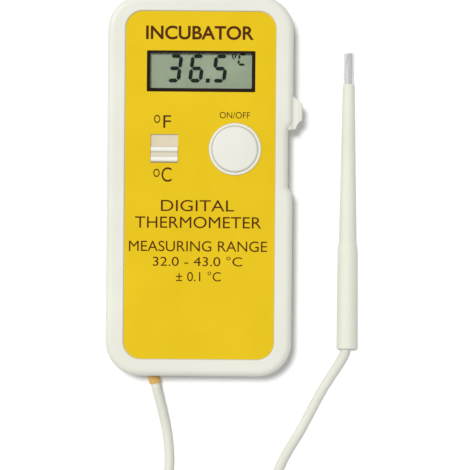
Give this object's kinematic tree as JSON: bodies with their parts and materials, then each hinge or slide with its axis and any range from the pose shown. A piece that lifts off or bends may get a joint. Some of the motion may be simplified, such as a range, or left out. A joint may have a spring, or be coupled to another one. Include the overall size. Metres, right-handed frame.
{
  "type": "incubator thermometer",
  "caption": "Hand-held digital thermometer with a recessed face, small display, slide switch, round push button, battery door and a wired rod probe.",
  "frame": {"origin": "centre of the case's flat back, which lies on the surface", "axes": "+Y towards the display end of the case, +Z out of the face, +X towards the probe"},
  "size_m": [0.0746, 0.1863, 0.02],
  "materials": {
    "case_plastic": "satin moulded ABS, off-white",
    "label_print": "screen-printed polyester film, yellow",
    "display_black": "black, fine texture",
    "window_clear": "clear, polished",
    "display_glass": "clear glass with polariser film",
    "reflector": "grey-green diffuse film",
    "contact_rubber": "silicone rubber",
    "board": "glass-epoxy laminate with solder mask",
    "component_black": "black epoxy",
    "component_tan": "ceramic",
    "plated_metal": "nickel plated",
    "screw_steel": "zinc plated",
    "button_plastic": "satin moulded ABS, white",
    "switch_plastic": "black nylon",
    "cell_jacket": "plain printed jacket",
    "gland_rubber": "tan, semi-translucent",
    "cable_pvc": "soft satin PVC, off-white",
    "wire_insulation": "PVC",
    "tie_nylon": "nylon",
    "probe_plastic": "satin moulded ABS, ivory",
    "probe_steel": "satin stainless steel",
    "bead_glass": "glass bead"
  },
  "bodies": {
    "case": {"front_cover": "case_plastic", "rear_cover": "case_plastic", "face_label": "label_print", "display_frame": "display_black", "display_window": "window_clear", "display_front_glass": "display_glass", "display_rear_glass": "display_glass", "display_reflector": "reflector", "display_holder": "display_black", "contact_strips": "contact_rubber", "circuit_board": "board", "epoxy_drop": "component_black", "chip_capacitors": "component_tan", "chip_resistors": "component_black", "crystal": "plated_metal", "trimmer": "switch_plastic", "board_screws": "screw_steel", "case_screws": "screw_steel", "power_switch_body": "switch_plastic", "unit_switch_body": "plated_metal", "battery_cell": "cell_jacket", "battery_contact_positive": "plated_metal", "battery_contact_negative": "plated_metal", "battery_spring": "plated_metal", "battery_leads": "wire_insulation", "cable_gland": "gland_rubber", "cable_inner_end": "cable_pvc", "sensor_leads": "wire_insulation", "cable_case_run": "cable_pvc", "cable_coil": "cable_pvc", "cable_tie": "tie_nylon", "cable_probe_run": "cable_pvc", "probe_handle": "probe_plastic", "probe_shaft": "probe_plastic", "probe_tip": "probe_steel", "thermistor_bead": "bead_glass", "thermistor_leads": "plated_metal"},
    "button": {"power_button": "button_plastic", "power_switch_plunger": "switch_plastic"},
    "slider": {"unit_slider": "button_plastic", "unit_switch_actuator": "switch_plastic"},
    "door": {"battery_door": "case_plastic"}
  },
  "joints": [
    {"name": "button_press", "type": "slide", "parent": "case", "child": "button", "axis": [0, 0, -1], "range_m": [0, 0.0014], "stiffness_N_per_m": 600, "springref_m": -0.0006},
    {"name": "unit_slide", "type": "slide", "parent": "case", "child": "slider", "axis": [0, 1, 0], "range_m": [0, 0.0032]},
    {"name": "door_slide", "type": "slide", "parent": "case", "child": "door", "axis": [0, -1, 0], "range_m": [0, 0.008]}
  ]
}
